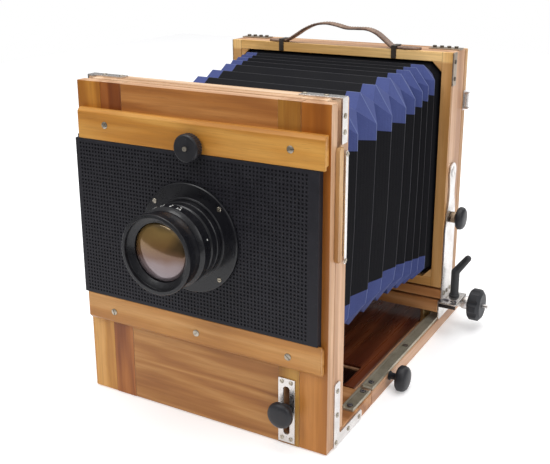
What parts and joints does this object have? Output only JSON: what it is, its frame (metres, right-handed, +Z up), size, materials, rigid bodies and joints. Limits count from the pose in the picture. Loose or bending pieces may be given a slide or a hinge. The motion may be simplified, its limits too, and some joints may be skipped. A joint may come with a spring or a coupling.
{
  "type": "view camera",
  "caption": "Wooden tailboard view camera: rising front, sliding lens board with lens, pleated bellows, geared rear standard with swing and tilt, ground glass back.",
  "frame": {"origin": "mouth of the tripod socket in the underside of the bed", "axes": "+Z up, lens looks along -Y, ground glass faces +Y, +X to the right when the lens side is seen from in front"},
  "size_m": [0.398, 0.479, 0.3881],
  "materials": {
    "honey_wood": "oiled, satin",
    "gold_wood": "varnished, satin",
    "bar_wood": "varnished, satin",
    "red_wood": "varnished",
    "dark_wood": "varnished, glossy",
    "centre_wood": "varnished, satin",
    "nickel": "nickel plated, polished",
    "rack_metal": "machined, satin",
    "brass": "satin",
    "screw_metal": "plated, slightly worn",
    "board_black": "matt black, perforated pattern",
    "lens_black": "gloss black enamel",
    "bakelite": "satin black bakelite",
    "knob_black": "satin black",
    "lever_black": "satin black",
    "lens_coating": "coated",
    "ground_glass": "finely ground",
    "bellows_cloth": "black cloth with blue corner patches",
    "black_wood": "matt black stain",
    "strap_leather": "worn brown leather"
  },
  "bodies": {
    "bed": {"base_board": "honey_wood", "tailboard": "honey_wood", "bed_panel": "dark_wood", "tail_hinges": "brass", "front_frame": "honey_wood", "front_corner_plates": "nickel", "side_guides": "bar_wood", "keeper_bars": "nickel", "base_angle_plates": "nickel", "racks": "rack_metal", "tripod_bush": "brass", "rise_stud": "nickel", "base_screws": "screw_metal", "bellows_front_frame": "black_wood", "bellows": "bellows_cloth"},
    "bed_lock_right": {"lock_knob_right": "bakelite"},
    "bed_lock_left": {"lock_knob_left": "bakelite"},
    "rise_panel": {"panel_stiles": "honey_wood", "panel_strips": "red_wood", "panel_centre": "centre_wood", "slot_plate": "nickel", "clamp_bars": "bar_wood", "panel_screws": "screw_metal"},
    "board_clamp": {"clamp_knob": "bakelite"},
    "rise_clamp": {"rise_knob": "bakelite"},
    "lens_slide": {"lens_board": "board_black", "lens_flange": "lens_black", "lens_screws": "screw_metal", "lens_barrel": "lens_black", "lens_rim": "lens_black", "lens_glass": "lens_coating", "iris_blades": "lever_black"},
    "aperture": {"aperture_ring": "lens_black"},
    "carriage": {"carriage_board": "honey_wood", "carriage_plates": "nickel", "carriage_gibs": "brass", "turntable_plate": "nickel", "carriage_screws": "screw_metal"},
    "focus_pinion": {"pinion_shaft": "nickel", "pinions": "brass", "focus_knobs": "knob_black"},
    "swing": {"swing_board": "honey_wood", "uprights": "nickel", "swing_screws": "screw_metal"},
    "swing_lever_right": {"clamp_lever_right": "lever_black"},
    "swing_lever_left": {"clamp_lever_left": "lever_black"},
    "rear_standard": {"rear_box": "honey_wood", "rear_face_frame": "gold_wood", "rear_corner_plates": "nickel", "rear_screws": "screw_metal", "tilt_studs": "nickel", "handle_strap": "strap_leather", "handle_loops": "lever_black"},
    "tilt_clamp_right": {"tilt_knob_right": "bakelite"},
    "tilt_clamp_left": {"tilt_knob_left": "bakelite"},
    "glass_back": {"back_frame": "honey_wood", "ground_glass": "ground_glass", "back_fittings": "nickel"},
    "latch": {"back_latch": "nickel"}
  },
  "joints": [
    {"name": "panel_rise", "type": "slide", "parent": "bed", "child": "rise_panel", "axis": [0, 0, 1], "range_m": [0, 0.024]},
    {"name": "board_shift", "type": "slide", "parent": "rise_panel", "child": "lens_slide", "axis": [1, 0, 0], "range_m": [-0.025, 0.025]},
    {"name": "aperture_turn", "type": "hinge", "parent": "lens_slide", "child": "aperture", "pos_m": [-0.0035, -0.11, 0.205], "axis": [0, 1, 0], "range_deg": [0, 90]},
    {"name": "board_clamp_turn", "type": "hinge", "parent": "rise_panel", "child": "board_clamp", "pos_m": [0.002, -0.082, 0.298], "axis": [0, 1, 0], "range_deg": [-180, 180]},
    {"name": "rise_clamp_turn", "type": "hinge", "parent": "bed", "child": "rise_clamp", "pos_m": [0.1015, -0.078, 0.0405], "axis": [0, 1, 0], "range_deg": [-180, 180]},
    {"name": "bed_lock_right_turn", "type": "hinge", "parent": "bed", "child": "bed_lock_right", "pos_m": [0.155, 0.09, 0.0136], "axis": [1, 0, 0], "range_deg": [-180, 180]},
    {"name": "bed_lock_left_turn", "type": "hinge", "parent": "bed", "child": "bed_lock_left", "pos_m": [-0.155, 0.09, 0.0136], "axis": [1, 0, 0], "range_deg": [-180, 180]},
    {"name": "focus_slide", "type": "slide", "parent": "bed", "child": "carriage", "axis": [0, 1, 0], "range_m": [-0.118, 0.016], "deforming": ["bellows"]},
    {"name": "focus_turn", "type": "hinge", "parent": "carriage", "child": "focus_pinion", "pos_m": [0, 0.29, 0.031], "axis": [1, 0, 0], "range_deg": [-72, 529]},
    {"name": "rear_swing", "type": "hinge", "parent": "carriage", "child": "swing", "pos_m": [0, 0.26, 0.0475], "axis": [0, 0, 1], "range_deg": [-5, 5]},
    {"name": "swing_lever_right_turn", "type": "hinge", "parent": "swing", "child": "swing_lever_right", "pos_m": [0.163, 0.26, 0.05], "axis": [0, 0, 1], "range_deg": [-60, 60]},
    {"name": "swing_lever_left_turn", "type": "hinge", "parent": "swing", "child": "swing_lever_left", "pos_m": [-0.163, 0.26, 0.05], "axis": [0, 0, 1], "range_deg": [-60, 60]},
    {"name": "rear_tilt", "type": "hinge", "parent": "swing", "child": "rear_standard", "pos_m": [0, 0.26, 0.2123], "axis": [1, 0, 0], "range_deg": [-7, 7]},
    {"name": "tilt_clamp_right_turn", "type": "hinge", "parent": "rear_standard", "child": "tilt_clamp_right", "pos_m": [0.16, 0.26, 0.1543], "axis": [1, 0, 0], "range_deg": [-180, 180]},
    {"name": "tilt_clamp_left_turn", "type": "hinge", "parent": "rear_standard", "child": "tilt_clamp_left", "pos_m": [-0.16, 0.26, 0.1543], "axis": [1, 0, 0], "range_deg": [-180, 180]},
    {"name": "back_door", "type": "hinge", "parent": "rear_standard", "child": "glass_back", "pos_m": [-0.1524, 0.2873, 0.212], "axis": [0, 0, 1], "range_deg": [0, 100]},
    {"name": "latch_turn", "type": "hinge", "parent": "glass_back", "child": "latch", "pos_m": [0.1537, 0.2931, 0.2955], "axis": [0, 0, 1], "range_deg": [-90, 90]}
  ],
  "couplings": [
    {"joint": "focus_turn", "follows": "focus_slide", "rad_per_m": -78.125}
  ]
}
